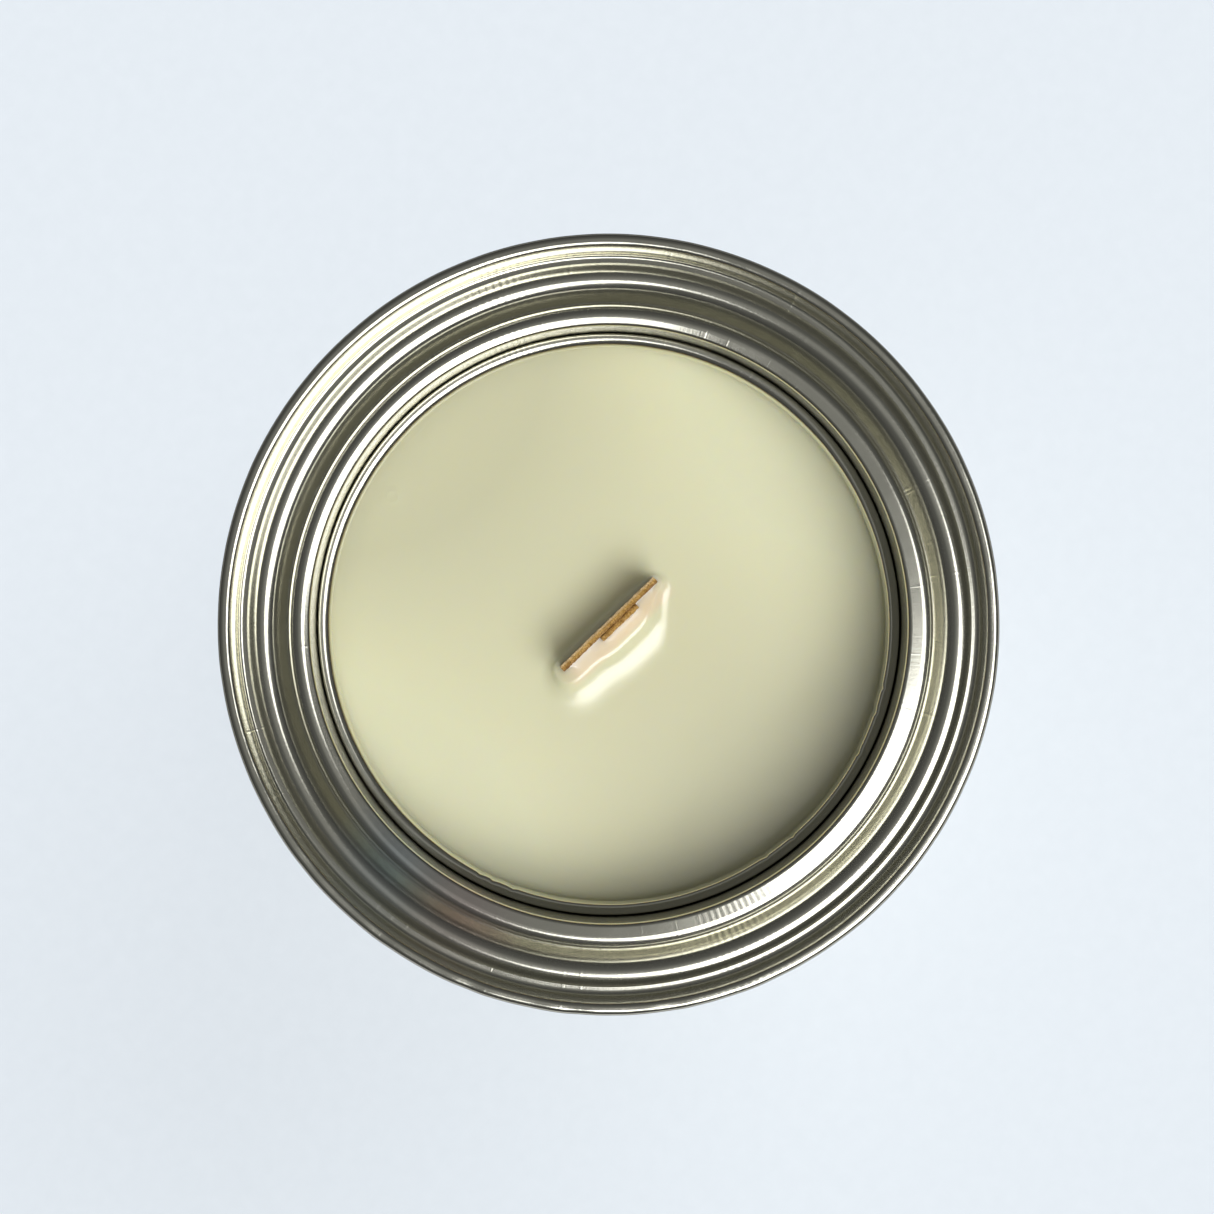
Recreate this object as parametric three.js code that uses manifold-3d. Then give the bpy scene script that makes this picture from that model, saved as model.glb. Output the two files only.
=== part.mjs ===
// Candle tin: a seamed tinplate can with a lever-lid ring, poured with wax around a flat wooden wick.
//
// Units are millimetres and +Z is up. The origin is at the centre of the plane that the tin stands on.
// The wick's blade lies along X, and its booster strip is on the -Y side.
// Every round piece is a lathe of the same number of segments, so folded layers nest without touching.

import * as THREE from 'three';
import { mergeVertices } from 'three/addons/utils/BufferGeometryUtils.js';
import Module from 'manifold-3d';

// ---- tin ----
const SEAM_RADIUS = 38;
const TIN_HEIGHT = 76;
const SHEET = 0.22;
const LAYER_GAP = 0.04;
const LAYER_PITCH = SHEET + LAYER_GAP;
const SEAM_HEIGHT = 3.1;
const BODY_HOOK_LENGTH = 2;
const COVER_HOOK_LENGTH = 1.9;
const SEGMENTS = 44;
const ARC_STEP = THREE.MathUtils.degToRad(51);

// Middle of each folded layer of a double seam, from the outside in.
const OUTER_WALL = SEAM_RADIUS - SHEET / 2;
const BODY_HOOK = OUTER_WALL - LAYER_PITCH;
const COVER_HOOK = BODY_HOOK - LAYER_PITCH;
const BODY_WALL = COVER_HOOK - LAYER_PITCH;
const CHUCK_WALL = BODY_WALL - LAYER_PITCH;
const BODY_INSIDE = BODY_WALL - SHEET / 2;

// Bends, as the radius of the middle of the sheet.
const TIGHT_BEND = 0.2;
const SEAM_BEND = 0.4;

// ---- welded side seam of the body ----
const WELD_AZIMUTH = THREE.MathUtils.degToRad(-43.9);
const WELD_WIDTH = 0.9;
const WELD_PROUD = 0.1;
const WELD_END_CLEARANCE = 0.4;

// ---- lever-lid ring: the middle of the sheet, as depth below the rim ----
const PLUG_WALL = 29.17;
const PLUG_DEPTH = 10.2;
const PLUG_BEND = 0.3;
const CURL_INNER = 27.78;
const CURL_CREST = { radius: CURL_INNER, depth: 8.35, bend: 0.8 };
const CURL_LIP = { radius: PLUG_WALL - SHEET - 2 * LAYER_GAP, depth: 8.38, bend: 0.15 };
const CURL_LIP_DEPTH = 9.4;
const INNER_CREST = { radius: 29.28, depth: 2.2, bend: 0.3 };
const INNER_BEAD = { radius: 31.35, depth: 1.84, bend: 1.07 };
const GROOVE = { radius: 31.57, depth: 4.16, bend: 0.2 };
const OUTER_BEAD = { radius: 33.84, depth: 1.75, bend: 1.37 };
const VALLEY_INNER = { radius: 35.38, depth: 2.95, bend: 0.2 };
const VALLEY_OUTER = { radius: 36.32, depth: 3, bend: 0.64 };

// ---- base end ----
const COUNTERSINK_OUTER = 36.7;
const COUNTERSINK_INNER = 35.5;
const COUNTERSINK_HEIGHT = 4.1;
const OUTER_PANEL_RADIUS = 35.1;
const OUTER_PANEL_HEIGHT = 3;
const PANEL_STEP_OUTER = 29;
const PANEL_STEP_INNER = 28;
const PANEL_HEIGHT = 3.6;
const PANEL_TOP = PANEL_HEIGHT + SHEET / 2;
const PANEL_BEND = 0.5;

// ---- wax, wick and its holder ----
const REST_GAP = 0.05;
const WAX_RADIUS = BODY_INSIDE - REST_GAP;
const WAX_LEVEL = 63.5;
const WAX_EDGE_RISE = 1.6;
const WAX_EDGE_WIDTH = 4;
const WAX_EDGE_RINGS = 5;
const WAX_CLEARANCE = 0.25;
const WICK_WIDTH = 12.9;
const WICK_THICKNESS = 0.7;
const WICK_TOP = 69;
const WICK_CHAMFER = 0.4;
const BOOSTER_WIDTH = 4.9;
const BOOSTER_THICKNESS = 0.5;
const BOOSTER_CENTRE = 0.9;
const BOOSTER_DROP = 0.15;
const PAD_RADIUS = 9;
const PAD_THICKNESS = 0.8;
const CLIP_RADIUS = 10;
const CLIP_SHEET = 0.3;
const CLIP_RIM = 0.3;
const CLIP_BEND = 0.4;
const JAW_WIDTH = 14.4;
const JAW_HEIGHT = 7;
const LABEL_RADIUS = 24;
const LABEL_THICKNESS = 0.1;

const PAD_BOTTOM = PANEL_TOP + REST_GAP;
const CLIP_BOTTOM = PAD_BOTTOM + PAD_THICKNESS + REST_GAP;
const CLIP_FLOOR = CLIP_BOTTOM + CLIP_SHEET;
const WICK_BOTTOM = CLIP_FLOOR + REST_GAP;
const BOOSTER_Y = -(WICK_THICKNESS + BOOSTER_THICKNESS) / 2 - REST_GAP;

const wasm = await Module();
wasm.setup();

// ---- outlines ----

// A corner of a path: its place and the radius that rounds it.
function corner(radius, height, bend = 0) {
  return { point: new THREE.Vector2(radius, height), bend };
}

// The points of an arc that rounds one corner, tangent to the two straight stretches that meet there.
function roundCorner(before, { point, bend }, after) {
  const toBefore = before.clone().sub(point).normalize();
  const toAfter = after.clone().sub(point).normalize();
  const opening = Math.acos(THREE.MathUtils.clamp(toBefore.dot(toAfter), -1, 1));
  const centre = toBefore.clone().add(toAfter).normalize();
  centre.multiplyScalar(bend / Math.sin(opening / 2)).add(point);
  const start = toBefore.clone().multiplyScalar(bend / Math.tan(opening / 2)).add(point);
  const turn = Math.sign(toBefore.cross(toAfter)) * (Math.PI - opening);
  const steps = Math.max(1, Math.ceil(Math.abs(turn) / ARC_STEP));
  const points = [];
  for (let i = 0; i <= steps; i += 1) {
    points.push(start.clone().rotateAround(centre, -turn * i / steps));
  }
  return points;
}

function roundedPath(corners) {
  return corners.flatMap((item, i) => {
    const isEnd = i === 0 || i === corners.length - 1;
    if (isEnd || item.bend === 0) return [item.point.clone()];
    return roundCorner(corners[i - 1].point, item, corners[i + 1].point);
  });
}

// The path moved sideways by a distance, mitred at its corners.
function offsetPath(path, distance) {
  const stretch = (i) => path[i + 1].clone().sub(path[i]).normalize();
  const lastStretch = path.length - 2;
  return path.map((point, i) => {
    const into = stretch(Math.max(i - 1, 0));
    const middle = into.clone().add(stretch(Math.min(i, lastStretch))).normalize();
    const across = new THREE.Vector2(-middle.y, middle.x);
    return across.multiplyScalar(distance / middle.dot(into)).add(point);
  });
}

// The closed outline of a sheet bent along a path.
function sheetOutline(corners, thickness = SHEET) {
  const path = roundedPath(corners);
  const far = offsetPath(path, thickness / 2);
  const near = offsetPath(path, -thickness / 2).reverse();
  return [...far, ...near];
}

// ---- solids ----

// A body turned about Z from an outline of (radius, height) points. The outline closes on itself, or
// has one side on the axis, and then the lathe's profile runs from one end of that side to the other.
function turned(outline) {
  const points = THREE.ShapeUtils.area(outline) > 0 ? outline : [...outline].reverse();
  const start = points.findIndex((point, i) => point.x === 0 && points.at(i - 1).x === 0);
  const ring = [...points, points[0]];
  const profile = start < 0 ? ring : [...points.slice(start), ...points.slice(0, start)];
  const geometry = new THREE.LatheGeometry(profile, SEGMENTS);
  geometry.rotateX(Math.PI / 2);
  return geometry;
}

function turnedFrom(pairs) {
  return turned(pairs.map(([radius, height]) => new THREE.Vector2(radius, height)));
}

// A block with its lowest face at a height.
function block(width, depth, height, x, y, bottom) {
  const geometry = new THREE.BoxGeometry(width, depth, height);
  geometry.translate(x, y, bottom + height / 2);
  return geometry;
}

function toSolid(geometry) {
  const bare = geometry.clone();
  bare.deleteAttribute('normal');
  bare.deleteAttribute('uv');
  const merged = mergeVertices(bare, 1e-5);
  const vertProperties = new Float32Array(merged.attributes.position.array);
  const triVerts = new Uint32Array(merged.index.array);
  const kept = [];
  for (let i = 0; i < triVerts.length; i += 3) {
    const [a, b, c] = triVerts.subarray(i, i + 3);
    if (a !== b && b !== c && c !== a) kept.push(a, b, c);
  }
  const mesh = new wasm.Mesh({ numProp: 3, vertProperties, triVerts: new Uint32Array(kept) });
  mesh.merge();
  return new wasm.Manifold(mesh);
}

function toGeometry(solid) {
  const { vertProperties, triVerts } = solid.getMesh();
  const geometry = new THREE.BufferGeometry();
  geometry.setAttribute('position', new THREE.BufferAttribute(new Float32Array(vertProperties), 3));
  geometry.setIndex(new THREE.BufferAttribute(new Uint32Array(triVerts), 1));
  geometry.computeVertexNormals();
  return geometry;
}

function joined(...geometries) {
  return toGeometry(geometries.map(toSolid).reduce((sum, solid) => sum.add(solid)));
}

function cut(geometry, ...tools) {
  return toGeometry(tools.map(toSolid).reduce((rest, tool) => rest.subtract(tool), toSolid(geometry)));
}

// ---- tin ----

// The hem of the body at a seam: the wall turns outward and back down into a hook.
function bodyHem(edge, inward) {
  const fold = edge + inward * (SHEET + LAYER_GAP + SHEET / 2);
  return [
    corner(BODY_HOOK, fold + inward * BODY_HOOK_LENGTH),
    corner(BODY_HOOK, fold, TIGHT_BEND),
    corner(BODY_WALL, fold, TIGHT_BEND),
  ];
}

// The rim of an end at a seam: the cover hook, the outer wall and the crest, down to the chuck wall.
function coverHem(edge, inward) {
  const crest = edge + inward * SHEET / 2;
  const foot = edge + inward * (SEAM_HEIGHT - SHEET / 2);
  return [
    corner(COVER_HOOK, foot - inward * COVER_HOOK_LENGTH),
    corner(COVER_HOOK, foot, TIGHT_BEND),
    corner(OUTER_WALL, foot, TIGHT_BEND),
    corner(OUTER_WALL, crest, SEAM_BEND),
    corner(CHUCK_WALL, crest, SEAM_BEND),
  ];
}

function sideWall() {
  const tube = turned(sheetOutline([...bodyHem(0, 1), ...bodyHem(TIN_HEIGHT, -1).reverse()]));
  const inset = SEAM_HEIGHT + WELD_END_CLEARANCE;
  const depth = SHEET / 2 + WELD_PROUD;
  const lap = block(depth, WELD_WIDTH, TIN_HEIGHT - 2 * inset, BODY_WALL + depth / 2, 0, inset);
  lap.rotateZ(WELD_AZIMUTH);
  return joined(tube, lap);
}

function leverRing() {
  const at = ({ radius, depth, bend }) => corner(radius, TIN_HEIGHT - depth, bend);
  return turned(sheetOutline([
    ...coverHem(TIN_HEIGHT, -1),
    at(VALLEY_OUTER),
    at(VALLEY_INNER),
    at(OUTER_BEAD),
    at(GROOVE),
    at(INNER_BEAD),
    at(INNER_CREST),
    at({ radius: PLUG_WALL, depth: PLUG_DEPTH, bend: PLUG_BEND }),
    at({ radius: CURL_INNER, depth: PLUG_DEPTH, bend: PLUG_BEND }),
    at(CURL_CREST),
    at(CURL_LIP),
    at({ radius: CURL_LIP.radius, depth: CURL_LIP_DEPTH }),
  ]));
}

function baseEnd() {
  return turned(sheetOutline([
    ...coverHem(0, 1),
    corner(COUNTERSINK_OUTER, COUNTERSINK_HEIGHT, PANEL_BEND),
    corner(COUNTERSINK_INNER, COUNTERSINK_HEIGHT, PANEL_BEND),
    corner(OUTER_PANEL_RADIUS, OUTER_PANEL_HEIGHT, PANEL_BEND),
    corner(PANEL_STEP_OUTER, OUTER_PANEL_HEIGHT, PANEL_BEND),
    corner(PANEL_STEP_INNER, PANEL_HEIGHT, PANEL_BEND),
    corner(0, PANEL_HEIGHT),
  ]));
}

// The lining compound that fills the seam between the cover hook's edge and the fold of the body.
function seamCompound(edge, inward) {
  const near = edge + inward * (2 * SHEET + 2 * LAYER_GAP);
  const far = edge + inward * (SEAM_HEIGHT - SHEET / 2 - COVER_HOOK_LENGTH - LAYER_GAP);
  const inner = BODY_WALL + SHEET / 2 + LAYER_GAP;
  const outer = BODY_HOOK - SHEET / 2 - LAYER_GAP;
  return turnedFrom([[inner, near], [outer, near], [outer, far], [inner, far]]);
}

// ---- wick and its holder ----

// A strip of wood standing on its end, with its top edges worn to a chamfer.
function strip(width, thickness, bottom, top, x, y) {
  const half = width / 2;
  const shape = new THREE.Shape([
    new THREE.Vector2(-half, bottom),
    new THREE.Vector2(half, bottom),
    new THREE.Vector2(half, top - WICK_CHAMFER),
    new THREE.Vector2(half - WICK_CHAMFER, top),
    new THREE.Vector2(-half + WICK_CHAMFER, top),
    new THREE.Vector2(-half, top - WICK_CHAMFER),
  ]);
  const geometry = new THREE.ExtrudeGeometry(shape, { depth: thickness, bevelEnabled: false });
  geometry.rotateX(Math.PI / 2);
  geometry.translate(x, y + thickness / 2, 0);
  return geometry;
}

function wickBlade() {
  return strip(WICK_WIDTH, WICK_THICKNESS, WICK_BOTTOM, WICK_TOP, 0, 0);
}

function wickBooster() {
  const top = WICK_TOP - BOOSTER_DROP;
  return strip(BOOSTER_WIDTH, BOOSTER_THICKNESS, WICK_BOTTOM, top, BOOSTER_CENTRE, BOOSTER_Y);
}

// A round foot with a turned-down rim, and two jaws that pinch the wick.
function wickClip() {
  const middle = CLIP_BOTTOM + CLIP_SHEET / 2;
  const foot = turned(sheetOutline([
    corner(CLIP_RADIUS, CLIP_BOTTOM - CLIP_RIM),
    corner(CLIP_RADIUS, middle, CLIP_BEND),
    corner(0, middle),
  ], CLIP_SHEET));
  const jaw = (y) => block(JAW_WIDTH, CLIP_SHEET, JAW_HEIGHT, 0, y, middle);
  const behindBlade = WICK_THICKNESS / 2 + REST_GAP + CLIP_SHEET / 2;
  const behindBooster = BOOSTER_Y - BOOSTER_THICKNESS / 2 - REST_GAP - CLIP_SHEET / 2;
  return joined(foot, jaw(behindBlade), jaw(behindBooster));
}

function adhesivePad() {
  const top = PAD_BOTTOM + PAD_THICKNESS;
  return turnedFrom([[0, PAD_BOTTOM], [PAD_RADIUS, PAD_BOTTOM], [PAD_RADIUS, top], [0, top]]);
}

function baseLabel() {
  const top = PANEL_HEIGHT - SHEET / 2 - REST_GAP;
  const bottom = top - LABEL_THICKNESS;
  return turnedFrom([[0, bottom], [LABEL_RADIUS, bottom], [LABEL_RADIUS, top], [0, top]]);
}

// ---- wax ----

// The poured body before the wick's space is taken out: it follows the base and climbs the wall a little.
function waxBody() {
  const lift = SHEET / 2 + WAX_CLEARANCE / 2;
  const outline = [
    [0, PANEL_HEIGHT + lift],
    [PANEL_STEP_INNER, PANEL_HEIGHT + lift],
    [PANEL_STEP_OUTER, OUTER_PANEL_HEIGHT + lift],
    [OUTER_PANEL_RADIUS - WAX_CLEARANCE, OUTER_PANEL_HEIGHT + lift],
    [COUNTERSINK_INNER - WAX_CLEARANCE, COUNTERSINK_HEIGHT + lift],
    [WAX_RADIUS, COUNTERSINK_HEIGHT + lift],
  ];
  for (let i = 0; i <= WAX_EDGE_RINGS; i += 1) {
    const inward = i / WAX_EDGE_RINGS;
    outline.push([WAX_RADIUS - WAX_EDGE_WIDTH * inward, WAX_LEVEL + WAX_EDGE_RISE * (1 - inward) ** 3]);
  }
  outline.push([0, WAX_LEVEL]);
  return turnedFrom(outline);
}

// A slot right through the wax, a clearance wider than what stands in it.
function slot(width, thickness, x, y, top = TIN_HEIGHT) {
  return block(width + 2 * WAX_CLEARANCE, thickness + 2 * WAX_CLEARANCE, top, x, y, 0);
}

function waxFill() {
  const footTop = CLIP_FLOOR + WAX_CLEARANCE;
  const footRadius = CLIP_RADIUS + 2 * WAX_CLEARANCE;
  const footSpace = turnedFrom([[0, 0], [footRadius, 0], [footRadius, footTop], [0, footTop]]);
  const back = WICK_THICKNESS / 2 + REST_GAP + CLIP_SHEET;
  const front = BOOSTER_Y - BOOSTER_THICKNESS / 2 - REST_GAP - CLIP_SHEET;
  const jawTop = CLIP_BOTTOM + CLIP_SHEET / 2 + JAW_HEIGHT + WAX_CLEARANCE;
  const jawSpace = slot(JAW_WIDTH, back - front, 0, (back + front) / 2, jawTop);
  const bladeSpace = slot(WICK_WIDTH, WICK_THICKNESS, 0, 0);
  const boosterSpace = slot(BOOSTER_WIDTH, BOOSTER_THICKNESS, BOOSTER_CENTRE, BOOSTER_Y);
  return cut(waxBody(), footSpace, jawSpace, bladeSpace, boosterSpace);
}

// ---- materials ----

function finish(color, roughness, metalness) {
  return new THREE.MeshStandardMaterial({ color, roughness, metalness });
}

const TINPLATE = finish(0xb9b8ab, 0.22, 1);
const SOLDERED_TIN = finish(0xa9a89f, 0.35, 1);
const WAX = finish(0xd9d7af, 0.3, 0);
const CHERRY_WOOD = finish(0x9a6236, 0.7, 0);
const RUBBER_LINING = finish(0xb7a77e, 0.8, 0);
const ADHESIVE = finish(0xe6e2d4, 0.9, 0);
const PAPER = finish(0xf1efe8, 0.85, 0);

// ---- assembly ----

const tin = new THREE.Group();
tin.name = 'candle_tin';

function add(name, geometry, material) {
  const mesh = new THREE.Mesh(geometry, material);
  mesh.name = name;
  tin.add(mesh);
}

add('side_wall', sideWall(), TINPLATE);
add('lever_ring', leverRing(), TINPLATE);
add('base_end', baseEnd(), TINPLATE);
add('ring_seam_compound', seamCompound(TIN_HEIGHT, -1), RUBBER_LINING);
add('base_seam_compound', seamCompound(0, 1), RUBBER_LINING);
add('wax_fill', waxFill(), WAX);
add('wick_blade', wickBlade(), CHERRY_WOOD);
add('wick_booster', wickBooster(), CHERRY_WOOD);
add('wick_clip', wickClip(), SOLDERED_TIN);
add('clip_adhesive_pad', adhesivePad(), ADHESIVE);
add('base_label', baseLabel(), PAPER);

export default tin;
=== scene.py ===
# Candle tin: an open lever-lid tin of poured wax with a flat wooden wick, seen from straight above.
# Lengths are worked out in millimetres and become metres where a mesh, lamp or camera is made.
import math

import bmesh
import bpy
import numpy as np
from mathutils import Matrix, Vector, noise


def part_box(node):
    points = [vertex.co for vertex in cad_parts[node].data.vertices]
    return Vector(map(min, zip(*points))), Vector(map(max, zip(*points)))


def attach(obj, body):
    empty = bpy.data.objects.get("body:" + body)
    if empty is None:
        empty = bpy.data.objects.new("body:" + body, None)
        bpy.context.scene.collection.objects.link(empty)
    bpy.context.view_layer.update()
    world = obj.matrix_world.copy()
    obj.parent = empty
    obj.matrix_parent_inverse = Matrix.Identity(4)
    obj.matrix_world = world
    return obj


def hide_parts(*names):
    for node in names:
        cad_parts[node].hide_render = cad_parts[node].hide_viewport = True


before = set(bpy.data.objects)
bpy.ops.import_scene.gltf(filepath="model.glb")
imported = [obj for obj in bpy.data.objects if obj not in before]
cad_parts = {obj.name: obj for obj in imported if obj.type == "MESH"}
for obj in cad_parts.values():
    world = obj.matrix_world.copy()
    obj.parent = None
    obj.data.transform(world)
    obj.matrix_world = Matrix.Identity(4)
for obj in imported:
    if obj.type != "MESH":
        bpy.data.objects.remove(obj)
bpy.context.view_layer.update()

MM = 0.001


def box_mm(node):
    low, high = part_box(node)
    return low / MM, high / MM


# ---- sizes taken from the frame ----
RING_HIGH = box_mm("lever_ring")[1]
WAX_LOW, WAX_HIGH = box_mm("wax_fill")
BLADE_LOW, BLADE_HIGH = box_mm("wick_blade")
BOOSTER_LOW, BOOSTER_HIGH = box_mm("wick_booster")
BOOSTER_BACK = Vector((BOOSTER_HIGH.x, BLADE_LOW.y - 0.005, BOOSTER_HIGH.z))
CLIP_LOW, CLIP_HIGH = box_mm("wick_clip")
LABEL_LOW, LABEL_HIGH = box_mm("base_label")
RIM = RING_HIGH.z
SEAM_RADIUS = RING_HIGH.x
WAX_RADIUS = WAX_HIGH.x

# ---- the folded sheet, as the frame folds it ----
SHEET = 0.22
LAYER_PITCH = 0.26
SEAM_HEIGHT = 3.1
BODY_HOOK_LENGTH = 2.0
COVER_HOOK_LENGTH = 1.9
OUTER_WALL = SEAM_RADIUS - SHEET / 2
BODY_HOOK = OUTER_WALL - LAYER_PITCH
COVER_HOOK = BODY_HOOK - LAYER_PITCH
BODY_WALL = COVER_HOOK - LAYER_PITCH
CHUCK_WALL = BODY_WALL - LAYER_PITCH
TIGHT_BEND = 0.2
SEAM_BEND = 0.45

# ---- lever-lid ring: (radius, depth below the rim, bend radius) of the middle of the sheet ----
VALLEY_OUTER = (36.32, 3.0, 0.64)
VALLEY_INNER = (35.38, 2.95, 0.2)
OUTER_BEAD = (33.84, 1.75, 1.37)
GROOVE = (31.57, 4.16, 0.2)
INNER_BEAD = (31.35, 1.84, 1.07)
INNER_CREST = (29.28, 2.2, 0.3)
PLUG_FOOT = (29.17, 10.2, 0.3)
CURL_FOOT = (27.78, 10.2, 0.3)
CURL_CREST = (27.78, 8.35, 0.8)
CURL_LIP = (28.87, 8.38, 0.15)
# The curl's crest and lip on the side of LEAN_AZIMUTH, where it is tipped outward.
CREST_TIPPED = (27.98, 8.25, 0.2)
LIP_TIPPED = (28.87, 8.52, 0.15)
CURL_LIP_END = 9.4
# How far each feature sits off centre towards LEAN_AZIMUTH, and how far the inner bead tips.
VALLEY_LEAN = 0.08
BEAD_LEAN = 0.22
GROOVE_LEAN = 0.19
INNER_BEAD_LEAN = 0.38
INNER_BEAD_TIP = 0.26
LEAN_AZIMUTH = math.radians(-88)
TIP_AZIMUTH = math.radians(-72)
DENTED_AZIMUTH = -140
# How far the rippled seam is drawn in, so that its ripples stay inside the frame's box.
SEAM_CLEAR = 0.05
CURL_NICKS = (-161, -158, -154, -100, -93, -71, -62, -57)

# ---- marks on the metal: azimuths in degrees, and (place, colour) of each tinted patch ----
CHATTER_AZIMUTHS = (68, -110)
TINTED_PATCHES = [((-30.7, -2, 74), (0.60, 0.72, 0.80)), ((-28.7, -10, 74), (0.80, 0.66, 0.64))]

# ---- colours ----
TIN_BRIGHT = (0.81, 0.795, 0.685)
TIN_DULL = (0.755, 0.745, 0.65)
WAX_PALE = (0.95, 0.935, 0.64)
WAX_CLOUD = (0.93, 0.92, 0.645)
WAX_SPECK = (0.92, 0.90, 0.74)
# Painted shade: the colour that darkens the wax in two opposite sectors.
WAX_PAINTED_SHADE = (0.52, 0.51, 0.35)
# Partly the wood showing through thin wax, partly painted warm light bounced off the lit wick.
WAX_WOOD_TINT_AND_BOUNCE = (0.93, 0.76, 0.54)
WOOD_DARK = (0.44, 0.22, 0.035)
WOOD_LIGHT = (0.80, 0.50, 0.14)
WOOD_SOAKED = (0.30, 0.13, 0.015)
WOOD_PORE = (0.20, 0.08, 0.015)
# Painted shade in the narrow seam between the blade and the booster.
WOOD_SEAM_SHADE = (0.16, 0.06, 0.01)
WOOD_RIM = (0.85, 0.66, 0.38)

# ---- wall ----
WELD_HALF = 0.45
WALL_RUNGS = 60

# ---- base end ----
COUNTERSINK_OUTER = (36.7, 4.1, 0.5)
COUNTERSINK_INNER = (35.5, 4.1, 0.5)
OUTER_PANEL = (35.1, 3.0, 0.5)
PANEL_STEP_OUTER = (29.0, 3.0, 0.5)
PANEL_STEP_INNER = (28.0, 3.6, 0.5)
PANEL_HEIGHT = 3.6

# ---- wax ----
WAX_LEVEL = 63.5
WAX_EDGE_RISE = WAX_HIGH.z - WAX_LEVEL
WAX_EDGE_WIDTH = 4.0
WAX_FLOOR = SHEET / 2 + 0.1
WAX_FOOT = 1.1
WAX_CLEARANCE = 0.25
WICK_GRIP = 0.01
# Half the length and width of the room left in the wax for the clip's jaws.
CLIP_JAW = (7.3, 1.3)
# How soon painted shade darkens the wax towards +Y and -Y, from its middle.
PAINTED_SHADE_REACH = (18 * MM) ** 2
# The middle of a small mark in the wax, and of its glossiest patch.
WAX_DENT = (-6.8, 24.4, 63.5)
WAX_SHINE = (4.0, -3.0, 64.0)
# The wax drawn up in front of the wick: (distance from the wick, tilt of the surface in degrees).
MOUND_TILT = [(0, 4), (1.35, 4), (1.8, 38), (2.3, 38), (2.7, 24), (4.2, 6), (5.4, 0)]
MOUND_REACH = np.linspace(0, MOUND_TILT[-1][0], 200)
MOUND_SLOPE = np.tan(np.radians(np.interp(MOUND_REACH, *zip(*MOUND_TILT))))
MOUND_HEIGHT = (MOUND_SLOPE[::-1].cumsum()[::-1]) * MOUND_REACH[1]

# ---- wick ----
EDGE_ROUND = 0.08
STRIP_COLUMNS = 150

# ---- picture ----
WICK_TURN = math.radians(43.9)
CAMERA_HEIGHT = 300.0
FRAME_WIDTH = 117.6
CAMERA_SHIFT = (-0.17, 1.72)
FLOOR_COLOUR = (0.80, 0.86, 0.92)
# How bright the room is by height of direction: 0 is straight down, 0.5 level, 1 straight up.
ROOM_GLOW = [
    (0.0, (0.06, 0.06, 0.06)),
    (0.14, (0.10, 0.10, 0.10)),
    (0.22, (0.55, 0.56, 0.57)),
    (0.42, (0.72, 0.735, 0.75)),
    (0.5, (0.03, 0.03, 0.03)),
    (0.59, (0.04, 0.04, 0.04)),
    (0.75, (0.065, 0.066, 0.065)),
    (0.91, (0.085, 0.086, 0.084)),
    (0.97, (0.10, 0.101, 0.099)),
    (1.0, (0.17, 0.172, 0.167)),
]

# (azimuth, elevation) that the table is brightest towards, and the window's azimuth, in degrees.
BRIGHT_SIDE = (-70, 0)
WINDOW_AZIMUTH = -43

FINE = 480
BEND_POINTS = 9
LEAD = 0.05


# ---- outlines ----
def rounded_path(corners):
    """A path through corners of (radius, height, bend), every bend drawn with the same number of points."""
    points = np.array([corner[:2] for corner in corners])
    lengths = np.linalg.norm(np.diff(points, axis=0), axis=1)
    along = np.diff(points, axis=0) / lengths[:, None]
    openings = np.arccos(np.clip(-(along[:-1] * along[1:]).sum(axis=1), -1, 1))
    bends = np.array([corner[2] for corner in corners[1:-1]])
    reach = np.concatenate([[0], bends / np.tan(openings / 2), [0]])
    spare = np.clip(lengths - reach[:-1] - reach[1:], 0, None)
    lead = np.minimum(spare / 4, LEAD)
    path = [points[0]]
    for i, (point, opening, bend) in enumerate(zip(points[1:-1], openings, bends)):
        back, onward = -along[i], along[i + 1]
        inward = (back + onward) / np.linalg.norm(back + onward)
        centre = point + inward * bend / math.sin(opening / 2)
        spoke = point + back * reach[i + 1] - centre
        side = math.copysign(1, back[1] * onward[0] - back[0] * onward[1])
        path.append(point + back * (reach[i + 1] + lead[i]))
        for turn in np.linspace(0, side * (math.pi - opening), BEND_POINTS):
            c, s = math.cos(turn), math.sin(turn)
            path.append(centre + (spoke[0] * c - spoke[1] * s, spoke[0] * s + spoke[1] * c))
        path.append(point + onward * (reach[i + 1] + lead[i + 1]))
    return np.array([*path, points[-1]])


def offset_path(path, distance):
    """The path moved sideways by a distance, mitred at its corners."""
    along = np.diff(path, axis=0)
    along /= np.linalg.norm(along, axis=1)[:, None]
    into = np.concatenate([along[:1], along])
    out = np.concatenate([along, along[-1:]])
    middle = into + out
    middle /= np.linalg.norm(middle, axis=1)[:, None]
    mitre = distance / (middle * into).sum(axis=1)
    return path + np.stack([-middle[:, 1], middle[:, 0]], axis=1) * mitre[:, None]


def sheet_outline(corners, thickness=SHEET):
    path = rounded_path(corners)
    return np.concatenate([offset_path(path, thickness / 2), offset_path(path, -thickness / 2)[::-1]])


def cover_hem(edge, inward):
    """An end's rim at a seam: cover hook, outer wall and crest, as far as the chuck wall."""
    crest = edge + inward * SHEET / 2
    foot = edge + inward * (SEAM_HEIGHT - SHEET / 2)
    return [
        (COVER_HOOK, foot - inward * COVER_HOOK_LENGTH),
        (COVER_HOOK, foot, TIGHT_BEND),
        (OUTER_WALL, foot, TIGHT_BEND),
        (OUTER_WALL, crest, SEAM_BEND),
        (CHUCK_WALL, crest, SEAM_BEND),
    ]


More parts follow.
